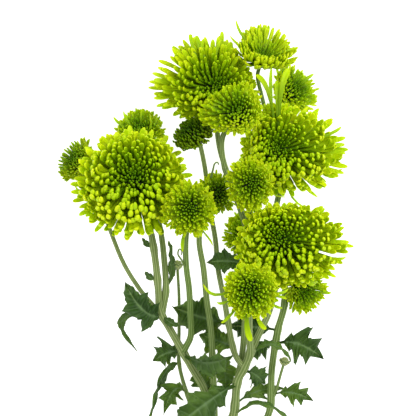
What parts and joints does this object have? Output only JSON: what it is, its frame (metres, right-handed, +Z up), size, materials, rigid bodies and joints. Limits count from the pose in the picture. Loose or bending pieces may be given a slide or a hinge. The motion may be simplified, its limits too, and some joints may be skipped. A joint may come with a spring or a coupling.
{
  "type": "pompon chrysanthemum",
  "caption": "Cut spray of a green pompon chrysanthemum, lying down, with branching ribbed stems, lobed leaves, buds and dense blooms of narrow incurved florets.",
  "frame": {"origin": "on the surface that the spray lies on, under the middle of its box", "axes": "+Y along the stems from the cut end towards the blooms, +Z up from the surface, +X to the right as seen from above"},
  "size_m": [0.1908, 0.3987, 0.1122],
  "materials": {
    "florets": "satin",
    "stems": "matte",
    "leaves": "satin",
    "buds": "satin"
  },
  "bodies": {
    "root": {"bloom_left_large": "florets", "bloom_far_left": "florets", "bloom_left_rear": "florets", "bloom_half_open": "florets", "bloom_top_large": "florets", "bloom_top_right": "florets", "bloom_upper_middle": "florets", "bloom_right_rear": "florets", "bloom_right_large": "florets", "bloom_middle_front": "florets", "bloom_middle_rear": "florets", "bloom_centre_front": "florets", "bloom_lower_large": "florets", "bloom_lower_front": "florets", "bloom_lower_right": "florets", "bloom_centre_rear": "florets", "branched_stem": "stems", "bud_left": "buds", "bud_right": "buds", "leaf_left_lobed": "leaves", "leaf_left_drooping": "leaves", "leaf_left_inner": "leaves", "leaf_left_low": "leaves", "leaf_folded_front": "leaves", "leaf_long_drooping": "leaves", "leaf_bottom_left": "leaves", "leaf_bottom_large": "leaves", "leaf_behind_left": "leaves", "leaf_behind_right": "leaves", "leaf_right_lobed": "leaves", "leaf_right_inner": "leaves", "leaf_right_arching": "leaves", "leaf_lower_right": "leaves", "leaf_lower_rear": "leaves", "leaf_bottom_arching": "leaves", "leaf_leader_right": "leaves", "leaf_behind_blooms": "leaves", "leaf_upright_left": "leaves", "leaf_bract_upper": "leaves", "leaf_bract_lower": "leaves", "leaf_node_left": "leaves", "leaf_centre_rear": "leaves", "leaf_centre_low": "leaves"}
  },
  "joints": []
}
